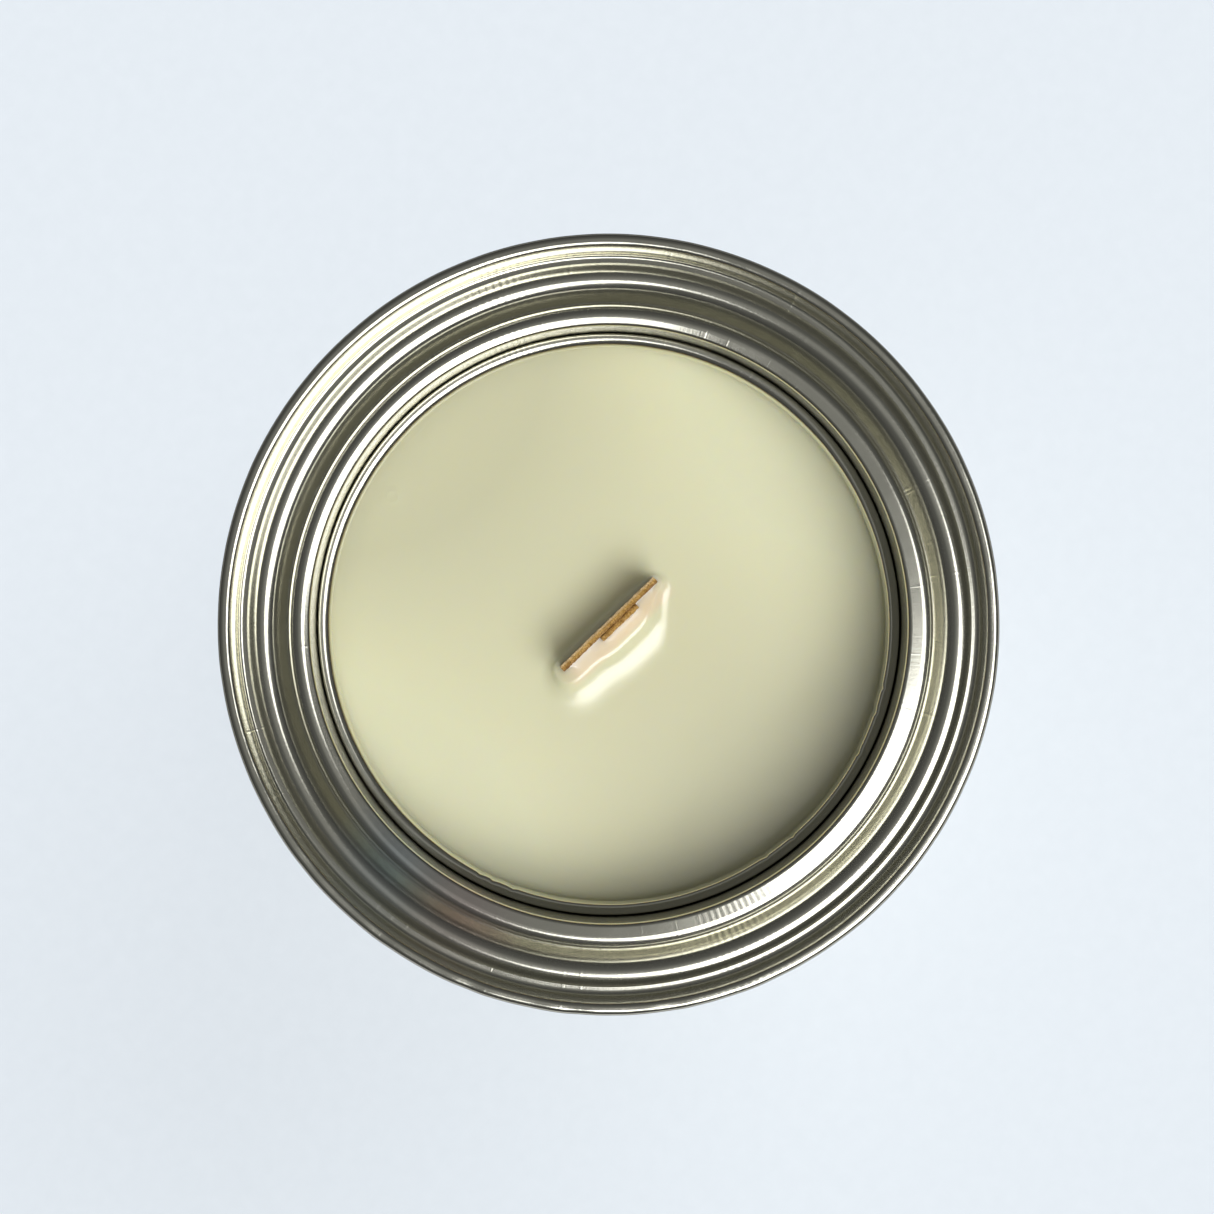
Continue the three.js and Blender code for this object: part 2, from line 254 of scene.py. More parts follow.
def body_hem(edge, inward):
    """The body's edge at a seam: the wall turns outward and back into a hook."""
    fold = edge + inward * (LAYER_PITCH + SHEET / 2)
    return [
        (BODY_HOOK, fold + inward * BODY_HOOK_LENGTH),
        (BODY_HOOK, fold, TIGHT_BEND),
        (BODY_WALL, fold, TIGHT_BEND),
    ]


# ---- meshes ----
def make_object(name, points, faces):
    """A smooth-shaded object from points in millimetres, with its faces turned outward."""
    mesh = bpy.data.meshes.new(name)
    mesh.from_pydata([tuple(p) for p in np.asarray(points) * MM], [], faces)
    shaped = bmesh.new()
    shaped.from_mesh(mesh)
    bmesh.ops.recalc_face_normals(shaped, faces=shaped.faces)
    shaped.to_mesh(mesh)
    shaped.free()
    mesh.polygons.foreach_set("use_smooth", [True] * len(mesh.polygons))
    made = bpy.data.objects.new(name, mesh)
    bpy.context.scene.collection.objects.link(made)
    return made


def loft_faces(loops, around, closed):
    """Quads between successive loops of the same number of points."""
    faces = []
    for j in range(loops if closed else loops - 1):
        k = (j + 1) % loops
        for i in range(around):
            n = (i + 1) % around
            faces.append((j * around + i, j * around + n, k * around + n, k * around + i))
    return faces


def azimuths(around):
    return np.linspace(0, 2 * math.pi, around, endpoint=False)


def turned(name, sections):
    """A closed body from one outline of (radius, height) for each azimuth round Z."""
    azimuth = azimuths(len(sections))[:, None]
    radius, height = sections[:, :, 0], sections[:, :, 1]
    points = np.stack([radius * np.cos(azimuth), radius * np.sin(azimuth), height], axis=2)
    around, loops = radius.shape
    points = points.transpose(1, 0, 2).reshape(-1, 3)
    return make_object(name, points, loft_faces(loops, around, closed=True))


def turned_disc(name, outline, around=FINE):
    """A body turned about Z whose outline starts and ends on the axis."""
    azimuth = azimuths(around)
    ring = np.stack([np.cos(azimuth), np.sin(azimuth), np.zeros(around)], axis=1)
    loops = [ring * radius + (0, 0, height) for radius, height in outline[1:-1]]
    faces = loft_faces(len(loops), around, closed=False)
    poles = [(0, 0, outline[0][1]), (0, 0, outline[-1][1])]
    count = len(loops) * around
    for pole, start in ((count, 0), (count + 1, count - around)):
        faces += [(pole, start + i, start + (i + 1) % around) for i in range(around)]
    return make_object(name, np.concatenate([*loops, poles]), faces)


def waves(azimuth, orders, seed):
    """A smooth wave round the tin, from -1 to 1, made of a few whole numbers of turns."""
    total = np.zeros_like(azimuth)
    for i, order in enumerate(orders):
        total += np.cos(order * azimuth + seed * 1.7 + i * 2.3) / (i + 1)
    return total / sum(1 / (i + 1) for i in range(len(orders)))


def bump_at(azimuth, centre, width):
    """1 at a centre azimuth, falling to 0 about a width either side, all in degrees."""
    away = (np.degrees(azimuth) - centre + 180) % 360 - 180
    return np.exp(-(away / width) ** 2)


def smooth(low, high, value):
    t = np.clip((value - low) / (high - low), 0, 1)
    return t * t * (3 - 2 * t)


# ---- shaders ----
class Shader:
    """A material whose node tree is built one node at a time."""

    def __init__(self, name, roughness, metallic=0.0):
        self.material = bpy.data.materials.new(name)
        self.material.use_nodes = True
        self.tree = self.material.node_tree
        self.surface = self.tree.nodes["Principled BSDF"]
        self.set("Roughness", roughness)
        self.set("Metallic", metallic)

    def set(self, socket, value):
        if isinstance(value, bpy.types.NodeSocket):
            self.tree.links.new(value, self.surface.inputs[socket])
        else:
            self.surface.inputs[socket].default_value = value

    def node(self, kind, inputs, output=0, **settings):
        made = self.tree.nodes.new("ShaderNode" + kind)
        for key, value in settings.items():
            setattr(made, key, value)
        for key, value in inputs.items():
            if isinstance(value, bpy.types.NodeSocket):
                self.tree.links.new(value, made.inputs[key])
            else:
                made.inputs[key].default_value = value
        return made.outputs[output]

    def math(self, operation, *values):
        return self.node("Math", dict(enumerate(values)), operation=operation)

    def place(self):
        """The point on the surface, in metres from the tin's origin."""
        return self.node("TexCoord", {}, output="Object")

    def stretched(self, per_mm):
        """The point scaled along each axis, in cells per millimetre."""
        scale = Vector(per_mm) / MM
        return self.node("VectorMath", {0: self.place(), 1: scale}, operation="MULTIPLY")

    def around(self, around_per_mm, along_per_mm, radius=33.0):
        """Cells that run round the tin, so many per millimetre round it and along its profile."""
        flat = self.node("VectorMath", {0: self.place(), 1: (1, 1, 0)}, operation="MULTIPLY")
        height = self.node("SeparateXYZ", {0: self.place()}, output="Z")
        reach = self.node("VectorMath", {0: flat}, output="Value", operation="LENGTH")
        along = self.math("MULTIPLY", self.math("SUBTRACT", reach, height), along_per_mm / MM)
        spoke = self.node("VectorMath", {0: flat}, operation="NORMALIZE")
        round_it = self.node("VectorMath", {0: spoke, "Scale": around_per_mm * radius}, operation="SCALE")
        lift = self.node("CombineXYZ", {"Z": along})
        return self.node("VectorMath", {0: round_it, 1: lift}, operation="ADD")

    def chatter(self, azimuth):
        """Fine ripples, as a press leaves, over a few degrees on either side of an azimuth."""
        x, y = (self.node("SeparateXYZ", {0: self.place()}, output=axis) for axis in "XY")
        turn = math.radians(azimuth)
        across = self.math("SUBTRACT", self.math("MULTIPLY", y, math.cos(turn)),
                           self.math("MULTIPLY", x, math.sin(turn)))
        along = self.math("ADD", self.math("MULTIPLY", x, math.cos(turn)),
                          self.math("MULTIPLY", y, math.sin(turn)))
        angle = self.math("ARCTAN2", across, along)
        fade = self.range(self.math("ABSOLUTE", angle), 0.06, 0.16, 1.0, 0.0)
        return self.math("MULTIPLY", self.math("SINE", self.math("MULTIPLY", angle, 300.0)), fade)

    def away_from(self, place_mm):
        """The distance from a point given in millimetres, in metres."""
        inputs = {0: self.place(), 1: Vector(place_mm) * MM}
        return self.node("VectorMath", inputs, output="Value", operation="DISTANCE")

    def noise(self, cells, detail=2.0, roughness=0.5, distortion=0.0):
        inputs = {"Vector": cells, "Scale": 1.0, "Detail": detail}
        inputs.update({"Roughness": roughness, "Distortion": distortion})
        return self.node("TexNoise", inputs)

    def range(self, value, low, high, to_low=0.0, to_high=1.0):
        inputs = {"Value": value, "From Min": low, "From Max": high, "To Min": to_low, "To Max": to_high}
        return self.node("MapRange", inputs, clamp=True)

    def mix(self, amount, first, second):
        inputs = {0: amount, 6: (*first, 1) if isinstance(first, tuple) else first}
        inputs[7] = (*second, 1) if isinstance(second, tuple) else second
        return self.node("Mix", inputs, output=2, data_type="RGBA")

    def bump(self, height, depth_mm, normal=None):
        inputs = {"Height": height, "Distance": depth_mm * MM, "Strength": 1.0}
        if normal:
            inputs["Normal"] = normal
        return self.node("Bump", inputs)


def tinplate(name, stamped):
    """Bright tinplate: rolled grain, faint peel, smudges and a trace of colour.

    A stamped part has grain that runs across its beads, press chatter in places and two tinted patches."""
    shader = Shader(name, 0.2, metallic=1.0)
    smudge = shader.noise(shader.stretched((0.11, 0.11, 0.11)), detail=4.0, roughness=0.6)
    colour = shader.mix(smudge, TIN_BRIGHT, TIN_DULL)
    peel = shader.noise(shader.stretched((2.6, 2.6, 2.6)), detail=2.0)
    normal = shader.bump(peel, 0.002)
    if stamped:
        grain = shader.noise(shader.around(4.5, 0.6), detail=3.0)
        streak = shader.noise(shader.around(1.6, 0.12), detail=1.0)
        grain = shader.math("ADD", grain, shader.range(streak, 0.70, 0.76))
        for azimuth in CHATTER_AZIMUTHS:
            normal = shader.bump(shader.chatter(azimuth), 0.004, normal)
        # Two patches where the metal's colour is tinted blue and pink.
        for place, tone in TINTED_PATCHES:
            depth = shader.range(shader.away_from(place), 1 * MM, 7 * MM, 0.5, 0.0)
            colour = shader.mix(depth, colour, tone)
    else:
        grain = shader.noise(shader.stretched((4.5, 4.5, 0.4)), detail=3.0)
    shader.set("Base Color", colour)
    shader.set("Roughness", shader.range(smudge, 0.3, 0.75, 0.16, 0.22))
    shader.set("Normal", shader.bump(grain, 0.004, normal))
    return shader.material


def wax():
    """Soft pale wax: cloudy within, with a satin skin that is never quite flat; painted shade darkens two
    opposite sectors, and the pink just before the wick is partly painted bounce light.
    """
    shader = Shader("wax", 0.3)
    cloud = shader.noise(shader.stretched((0.06, 0.06, 0.06)), detail=3.0)
    speck = shader.noise(shader.stretched((1.6, 1.6, 1.6)), detail=3.0)
    colour = shader.mix(shader.range(cloud, 0.3, 0.7), WAX_PALE, WAX_CLOUD)
    colour = shader.mix(shader.range(speck, 0.55, 0.85, 0.0, 0.03), colour, WAX_SPECK)
    along = shader.node("SeparateXYZ", {0: shader.place()}, output="X")
    across = shader.node("SeparateXYZ", {0: shader.place()}, output="Y")
    # Painted shade: the wax is painted darker towards +Y and -Y, in two opposite sectors.
    shade_saddle = shader.math("SUBTRACT", shader.math("POWER", across, 2.0), shader.math("POWER", along, 2.0))
    painted_shade = shader.range(shade_saddle, -PAINTED_SHADE_REACH, PAINTED_SHADE_REACH, 0.0, 0.45)
    colour = shader.mix(painted_shade, colour, WAX_PAINTED_SHADE)
    # Pinker wax just before the wick: partly wood showing through thin wax, partly painted warm bounce light
    # from the lit wick.
    beside = shader.range(shader.math("ABSOLUTE", along), 5.5 * MM, 7.5 * MM, 1.0, 0.0)
    before = shader.range(across, -2.6 * MM, -1.9 * MM)
    before = shader.math("MULTIPLY", before, shader.range(across, -0.2 * MM, 0.2 * MM, 1.0, 0.0))
    wood_tint_and_bounce = shader.math("MULTIPLY", shader.math("MULTIPLY", beside, before), 0.8)
    colour = shader.mix(wood_tint_and_bounce, colour, WAX_WOOD_TINT_AND_BOUNCE)
    shader.set("Base Color", colour)
    rough = shader.range(shader.away_from(WAX_SHINE), 2.5 * MM, 11 * MM, 0.17, 0.25)
    shader.set("Roughness", shader.math("ADD", rough, shader.range(speck, 0.3, 0.7, -0.012, 0.012)))
    shader.set("Specular IOR Level", 1.0)
    shader.set("Subsurface Weight", 0.7)
    shader.set("Subsurface Radius", (1.0, 0.9, 0.6))
    shader.set("Subsurface Scale", 0.0013)
    swell = shader.noise(shader.stretched((0.16, 0.16, 0.16)), detail=2.0)
    normal = shader.bump(swell, 0.03)
    normal = shader.bump(speck, 0.0004, normal)
    dent = shader.range(shader.away_from(WAX_DENT), 0.0, 1.1 * MM, 0.0, 2.0)
    dent = shader.math("PINGPONG", dent, 1.0)
    shader.set("Normal", shader.bump(dent, 0.03, normal))
    return shader.material


def wood():
    """Thin cherry veneer, darkened where wax has soaked in, with long fibres and dark pores, and painted
    shade along the seam between blade and booster.
    """
    shader = Shader("wick_wood", 0.5)
    fibre = shader.noise(shader.stretched((5.0, 9.0, 0.35)), detail=4.0, distortion=0.4)
    soak = shader.noise(shader.stretched((0.55, 1.2, 0.2)), detail=3.0)
    pore = shader.noise(shader.stretched((14.0, 16.0, 1.2)), detail=2.0)
    pore = shader.range(pore, 0.58, 0.7)
    across = shader.node("SeparateXYZ", {0: shader.place()}, output="Y")
    from_booster_seam = shader.math("ABSOLUTE", shader.math("SUBTRACT", across, BLADE_LOW.y * MM))
    rim = shader.range(across, (BLADE_HIGH.y - 0.3) * MM, (BLADE_HIGH.y - 0.1) * MM, 0.0, 0.7)
    colour = shader.mix(shader.range(fibre, 0.32, 0.68), WOOD_DARK, WOOD_LIGHT)
    colour = shader.mix(shader.range(soak, 0.45, 0.6, 0.0, 0.5), colour, WOOD_SOAKED)
    colour = shader.mix(shader.math("MULTIPLY", pore, 0.7), colour, WOOD_PORE)
    # Painted shade: darker along the blade's front face, where the booster meets it.
    colour = shader.mix(shader.range(from_booster_seam, 0.0, 0.3 * MM, 0.65, 0.0), colour, WOOD_SEAM_SHADE)
    colour = shader.mix(rim, colour, WOOD_RIM)
    shader.set("Base Color", colour)
    shader.set("Roughness", shader.range(fibre, 0.3, 0.7, 0.38, 0.62))
    normal = shader.bump(fibre, 0.05)
    shader.set("Normal", shader.bump(pore, -0.04, normal))
    return shader.material


def plain(name, first, second, roughness, cells_per_mm, depth_mm, metallic=0.0):
    """A matt or satin material with a mottled colour and a fine tooth."""
    shader = Shader(name, roughness, metallic)
    grain = shader.noise(shader.stretched((cells_per_mm,) * 3), detail=4.0, roughness=0.6)
    shader.set("Base Color", shader.mix(shader.range(grain, 0.3, 0.7), first, second))
    shader.set("Roughness", shader.range(grain, 0.3, 0.7, roughness - 0.08, roughness + 0.08))
    shader.set("Normal", shader.bump(grain, depth_mm))
    return shader.material


def give(piece, material, slot=None):
    """Puts one material on a piece and, where it is new and a slot is given, attaches it to the root body.
    """
    piece.data.materials.clear()
    piece.data.materials.append(material)
    if slot:
        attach(piece, "root")


# ---- tin ----
def moved(corner, out=0.0, down=0.0):
    radius, depth, bend = corner
    return radius + out, RIM - depth - down, bend


def between(first, second, part):
    return tuple(a + (b - a) * part for a, b in zip(first, second))


def ring_outline(azimuth):
    """The ring's section at one azimuth. Its beads sit off centre, and its curl tips on one side."""
    lean = math.cos(azimuth - LEAN_AZIMUTH)
    tipped = float(smooth(-0.3, 0.6, lean))
    tip = math.cos(azimuth - TIP_AZIMUTH) * INNER_BEAD_TIP
    return sheet_outline([
        *cover_hem(RIM, -1),
        moved(VALLEY_OUTER, lean * VALLEY_LEAN),
        moved(VALLEY_INNER, lean * VALLEY_LEAN),
        moved(OUTER_BEAD, lean * BEAD_LEAN),
        moved(GROOVE, lean * GROOVE_LEAN),
        moved(INNER_BEAD, lean * INNER_BEAD_LEAN, tip),
        moved(INNER_CREST, down=-tip),
        moved(PLUG_FOOT),
        moved(CURL_FOOT),
        moved(between(CURL_CREST, CREST_TIPPED, tipped)),
        moved(between(CURL_LIP, LIP_TIPPED, tipped)),
        (CURL_LIP[0], RIM - CURL_LIP_END),
    ])


def lever_ring():
    """The ring, never quite true: its seam ripples, its beads wander, and its curl has burrs."""
    azimuth = azimuths(FINE)
    sections = np.array([ring_outline(a) for a in azimuth])
    azimuth = azimuth[:, None]
    radius, height = sections[:, :, 0], sections[:, :, 1]
    seam = smooth(36.6, 37.0, radius)
    crossing = bump_at(azimuth, -math.degrees(WICK_TURN), 5.0)
    worn = 0.35 + bump_at(azimuth, DENTED_AZIMUTH, 50)
    ripple = 0.025 * waves(azimuth, (5, 11, 23), 1) + 0.02 * worn * waves(azimuth, (37, 61, 83), 2)
    radius += seam * (ripple - SEAM_CLEAR - 0.02 * crossing)
    sink = 0.03 * waves(azimuth, (2, 7, 19), 3) + 0.02 * worn * waves(azimuth, (47, 71), 8)
    height -= seam * (SEAM_CLEAR + sink)
    height -= seam * 0.06 * crossing
    bead = (1 - seam) * smooth(29.4, 30.2, radius)
    radius += bead * 0.025 * waves(azimuth, (2, 3, 9), 4)
    height += bead * 0.015 * waves(azimuth, (3, 5, 14), 5)
    curl = 1 - smooth(28.0, 28.8, radius)
    nicks = sum(bump_at(azimuth, at, 0.5) for at in CURL_NICKS)
    radius += curl * (0.03 * waves(azimuth, (4, 9, 31, 57), 6) + 0.14 * nicks)
    return turned("lever_lid_ring", sections)


def body_wall():
    """The rolled wall, with the raised lap of its welded side seam."""
    lower = rounded_path([*body_hem(0, 1), (BODY_WALL, SEAM_HEIGHT)])
    upper = rounded_path([(BODY_WALL, RIM - SEAM_HEIGHT), *body_hem(RIM, -1)[::-1]])
    rungs = [(BODY_WALL, z) for z in np.linspace(SEAM_HEIGHT, RIM - SEAM_HEIGHT, WALL_RUNGS)]
    path = np.concatenate([lower[:-1], rungs, upper[1:]])
    outline = np.concatenate([offset_path(path, SHEET / 2), offset_path(path, -SHEET / 2)[::-1]])
    around = 2 * FINE
    sections = np.repeat(outline[None], around, axis=0)
    azimuth = azimuths(around)[:, None]
    radius, height = sections[:, :, 0], sections[:, :, 1]
    away = np.abs((azimuth + WICK_TURN + math.pi) % (2 * math.pi) - math.pi) * BODY_WALL / WELD_HALF
    reach = smooth(SEAM_HEIGHT + 0.3, SEAM_HEIGHT + 0.8, height)
    reach *= 1 - smooth(RIM - SEAM_HEIGHT - 0.8, RIM - SEAM_HEIGHT - 0.3, height)
    outer = smooth(BODY_WALL, BODY_WALL + SHEET / 2, radius)
    lap = 0.09 * (1 - smooth(0.75, 1.25, away)) - 0.04 * np.exp(-((away - 1.5) / 0.4) ** 2)
    roll = 0.006 * noise_field(azimuth, height)
    radius += outer * reach * (lap + roll)
    return turned("body_wall", sections)


def noise_field(azimuth, height):
    """Slow swells round and along the wall, from -1 to 1."""
    return (np.cos(3 * azimuth + height / 11) + np.cos(7 * azimuth - height / 17 + 1)) / 2


def base_panel():
    outline = sheet_outline([
        *cover_hem(0, 1),
        COUNTERSINK_OUTER,
        COUNTERSINK_INNER,
        OUTER_PANEL,
        PANEL_STEP_OUTER,
        PANEL_STEP_INNER,
        (0, PANEL_HEIGHT),
    ])
    middle = len(outline) // 2
    return turned_disc("base_panel", np.concatenate([outline[middle:], outline[:middle]]))


# ---- wax ----
def wick_outline(grip=WICK_GRIP):
    """The corners of the wick's plan, blade and booster together, with a little room round them."""
    half = BLADE_HIGH.x + grip
    back = BLADE_HIGH.y + grip
    front = BLADE_LOW.y - grip
    left, right = BOOSTER_LOW.x - grip, BOOSTER_HIGH.x + grip
    step = BOOSTER_LOW.y - grip
    corners = [(half, front), (half, back), (-half, back), (-half, front)]
    corners += [(left, front), (left, step), (right, step), (right, front)]
    return np.array(corners)


def distance_to(points, corners):
    """The distance from each point to a closed outline."""
    best = np.full(len(points), np.inf)
    for start, end in zip(corners, np.roll(corners, -1, axis=0)):
        along = end - start
        t = np.clip(((points - start) @ along) / (along @ along), 0, 1)
        best = np.minimum(best, np.linalg.norm(points - start - t[:, None] * along, axis=1))
    return best


def outline_at(directions, corners):
    """Where rays from the origin leave an outline that they each cross once."""
    hits = np.zeros_like(directions)
    reach = np.zeros(len(directions))
    for start, end in zip(corners, np.roll(corners, -1, axis=0)):
        along = end - start
        cross = directions[:, 0] * along[1] - directions[:, 1] * along[0]
        cross = np.where(np.abs(cross) < 1e-12, 1e-12, cross)
        ray = (start[0] * along[1] - start[1] * along[0]) / cross
        part = (start[0] * directions[:, 1] - start[1] * directions[:, 0]) / cross
        good = (part >= -1e-9) & (part <= 1 + 1e-9) & (ray > reach)
        hits[good] = directions[good] * ray[good, None]
        reach[good] = ray[good]
    return hits


def wax_height(points, around, gap):
    """The poured surface: level, drawn up a little at the wall and well up the front of the wick."""
    radius = np.linalg.norm(points, axis=1)
    edge = np.clip((radius - (WAX_RADIUS - WAX_EDGE_WIDTH)) / WAX_EDGE_WIDTH, 0, 1)
    height = WAX_LEVEL + WAX_EDGE_RISE * edge ** 3
    front = smooth(-0.5, 0.75, -np.sin(around))
    size = (0.3 + 0.7 * front) * (1 - 0.6 * smooth(1.5, 7.5, points[:, 0]))
    height += size * np.interp(gap / size, MOUND_REACH, MOUND_HEIGHT)
    height += 0.03 * np.exp(-gap / 0.3)
    height += 0.05 * waves(around, (2, 3, 5), 7) * smooth(2, 14, radius) * (1 - edge)
    return height


def blurred(values, spread):
    """Values round a loop, smoothed over so many neighbours."""
    turns = np.fft.fftfreq(len(values))
    return np.fft.ifft(np.fft.fft(values) * np.exp(-2 * (math.pi * spread * turns) ** 2)).real


def wax_body():
    """The poured body as one skin: over the top, down the wick's slot, under, and up the wall."""
    around = np.linspace(0, 2 * math.pi, FINE, endpoint=False)
    corners = wick_outline()
    focus = BLADE_HIGH.x - 0.25
    start, end = 0.06, math.asinh(WAX_RADIUS / focus)
    directions = np.stack([math.cosh(start) * np.cos(around), math.sinh(start) * np.sin(around)], 1)
    slot = outline_at(directions, corners)

    def ellipse(spread):
        wide = focus * math.cosh(spread) - (focus * math.cosh(end) - WAX_RADIUS) * (spread / end) ** 4
        return np.stack([wide * np.cos(around), focus * math.sinh(spread) * np.sin(around)], 1)

    loops = []
    rings = 110
    for j in range(rings + 1):
        t = j / rings
        plan = ellipse(start + (end - start) * t ** 1.6)
        plan = plan + (slot - ellipse(start)) * max(0, 1 - t / 0.5) ** 3
        gap = distance_to(plan, corners)
        gap = gap + (blurred(gap, 9) - gap) * smooth(0, 0.08, t)
        loops.append(np.column_stack([plan, wax_height(plan, around, np.maximum(gap, 0))]))
    circle = np.stack([np.cos(around), np.sin(around)], 1)

    def level(plan, height):
        return np.column_stack([plan, np.full(FINE, height)])

    for fraction in np.linspace(0.98, 0.0, 12):
        rise = fraction * (WAX_LEVEL - WAX_LOW.z - WAX_FOOT)
        loops.append(level(circle * WAX_RADIUS, WAX_LOW.z + WAX_FOOT + rise))
    countersink = COUNTERSINK_INNER[0] - WAX_CLEARANCE
    loops.append(level(circle * countersink, COUNTERSINK_INNER[1] + WAX_FLOOR))
    loops.append(level(circle * (OUTER_PANEL[0] - WAX_CLEARANCE), OUTER_PANEL[1] + WAX_FLOOR))
    loops.append(level(circle * PANEL_STEP_OUTER[0], PANEL_STEP_OUTER[1] + WAX_FLOOR))
    loops.append(level(circle * PANEL_STEP_INNER[0], PANEL_HEIGHT + WAX_FLOOR))
    foot = CLIP_HIGH.x + 0.3
    jaw_half = np.array(CLIP_JAW)
    loops.append(level(circle * foot, PANEL_HEIGHT + WAX_FLOOR))
    loops.append(level(circle * foot, CLIP_LOW.z + 0.9))
    jaw = np.clip(slot * 3, -jaw_half, jaw_half)
    loops.append(level(jaw, CLIP_LOW.z + 0.9))
    loops.append(level(jaw, CLIP_HIGH.z + 0.2))
    loops.append(level(slot, CLIP_HIGH.z + 0.2))
    for fraction in np.linspace(0.1, 0.97, 8):
        top = loops[0][:, 2]
        z = CLIP_HIGH.z + 0.2 + fraction * (top - CLIP_HIGH.z - 0.2)
        loops.append(np.column_stack([slot, z]))
    return make_object("wax_body", np.concatenate(loops), loft_faces(len(loops), FINE, closed=True))


# ---- wick ----
def wick_strip(name, low, high, seed):
    """A split strip of veneer on end: fibrous sides above the wax, and a top edge cut rough."""
    half, thick = (high.x - low.x) / 2, (high.y - low.y) / 2
    middle = (low + high) / 2
    xs = np.concatenate([[-half], np.linspace(-half + 0.01, half - 0.01, STRIP_COLUMNS), [half]])
    inset = np.clip((np.abs(xs) - half + EDGE_ROUND) / EDGE_ROUND, 0, 1)
    ys = thick - EDGE_ROUND * (1 - np.sqrt(1 - inset ** 2 * 0.98))
    ys[0] = ys[-1] = 0
    plan_x = np.concatenate([xs, xs[-2:0:-1]])
    plan_y = np.concatenate([ys, -ys[-2:0:-1]])
    count = len(plan_x)
    heights = [*np.linspace(low.z, WAX_LEVEL, 20), *np.linspace(WAX_LEVEL + 0.3, high.z - 0.6, 16)]
    heights += [*np.linspace(high.z - 0.5, high.z - 0.12, 6), high.z - 0.07, high.z - 0.03, high.z - 0.012]
    narrowing = [1.0] * (len(heights) - 3) + [0.97, 0.86, 0.62]
    loops = []
    for z, narrow in zip(heights, narrowing):
        bare = float(smooth(WAX_LEVEL + 1.2, WAX_LEVEL + 2.5, z))
        tip = max(0.0, 1 - (high.z - z) / 0.6)
        loop = []
        for x, y in zip(plan_x, plan_y):
            fibre = noise.noise(Vector((x * 2.6, y * 1.5, z * 0.1 + seed)))
            splinter = noise.noise(Vector((x * 6.5, y * 3.0, z * 0.25 + seed)))
            worn = 1 - bare * (0.02 + 0.18 * fibre + 0.12 * splinter)
            notch = noise.noise(Vector((x * 1.4, seed * 3.7, 0)))
            chip = noise.noise(Vector((x * 5.5, y * 7, seed)))
            drop = tip * max(0.0, 0.2 + 0.3 * notch + 0.16 * chip)
            loop.append((middle.x + x * (1 - (1 - narrow) * 0.05), middle.y + y * worn * narrow, z - drop))
        loops.append(np.array(loop))
    faces = loft_faces(len(loops), count, closed=False)
    side = STRIP_COLUMNS + 1
    for base in (0, (len(loops) - 1) * count):
        faces.append((base, base + 1, base + count - 1))
        for i in range(1, side - 1):
            faces.append((base + i, base + i + 1, base + count - i - 1, base + count - i))
        faces.append((base + side - 1, base + side, base + side + 1))
    return make_object(name, np.concatenate(loops), faces)


def label_sheet():
    """A blank round paper label, a little soft at its edge."""
    radius, low, high = LABEL_HIGH.x, LABEL_LOW.z, LABEL_HIGH.z
    outline = [(0, low), (radius * 0.4, low), (radius * 0.8, low), (radius - 0.2, low + 0.01)]
    outline += [(radius, low + 0.05), (radius - 0.02, high), (radius * 0.6, high), (0, high)]
    return turned_disc("paper_label", outline)


# ---- the object ----
TIN_ROUND = tinplate("tinplate_stamped", stamped=True)
TIN_FLAT = tinplate("tinplate_rolled", stamped=False)
WOOD = wood()

for make, node, material, slot in (
    (lever_ring, "lever_ring", TIN_ROUND, "tinplate_ends"),
    (body_wall, "side_wall", TIN_FLAT, "tinplate_body"),
    (base_panel, "base_end", TIN_ROUND, "tinplate_ends"),
    (wax_body, "wax_fill", wax(), "wax"),
    (lambda: wick_strip("blade_strip", BLADE_LOW, BLADE_HIGH, 3), "wick_blade", WOOD, "wick_wood"),
    (lambda: wick_strip("booster_strip", BOOSTER_LOW, BOOSTER_BACK, 8), "wick_booster", WOOD, "wick_wood"),
    (label_sheet, "base_label", plain("label_paper", (0.9, 0.89, 0.85), (0.82, 0.81, 0.77), 0.85, 4.0, 0.01),
     "label_paper"),
):
    piece = make()
    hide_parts(node)
    give(piece, material, slot)

LINING = plain("lining_compound", (0.62, 0.55, 0.38), (0.55, 0.48, 0.33), 0.7, 3.0, 0.02)
STEEL = plain("clip_steel", (0.62, 0.62, 0.6), (0.5, 0.5, 0.49), 0.3, 1.5, 0.004, metallic=1.0)
ADHESIVE = plain("adhesive_foam", (0.86, 0.84, 0.78), (0.76, 0.74, 0.68), 0.9, 5.0, 0.05)
give(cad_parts["ring_seam_compound"], LINING)
give(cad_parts["base_seam_compound"], LINING)
give(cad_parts["wick_clip"], STEEL)
give(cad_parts["clip_adhesive_pad"], ADHESIVE)

# ---- stage, camera and light ----
scene = bpy.context.scene
scene.view_settings.view_transform = "Standard"
TIN_PIECES = [o for o in scene.objects if o.type == "MESH"]


def add_floor():
    half = 3.0
    mesh = bpy.data.meshes.new("floor")
    corners = [(-half, -half, 0), (half, -half, 0), (half, half, 0), (-half, half, 0)]
    mesh.from_pydata(corners, [], [(0, 1, 2, 3)])
    floor = bpy.data.objects.new("floor", mesh)
    scene.collection.objects.link(floor)
    floor.visible_glossy = False
    give(floor, plain("floor_paint", FLOOR_COLOUR, tuple(c * 0.985 for c in FLOOR_COLOUR), 0.8, 0.5, 0.002))
    return floor


def turned_by(vector, angle):
    c, s = math.cos(angle), math.sin(angle)
    return Vector((vector[0] * c - vector[1] * s, vector[0] * s + vector[1] * c))


def toward(azimuth, elevation):
    """A direction. azimuth is counterclockwise from the picture's right, in degrees."""
    turn = math.radians(azimuth) - WICK_TURN
    rise = math.radians(elevation)
    return Vector((math.cos(rise) * math.cos(turn), math.cos(rise) * math.sin(turn), math.sin(rise)))


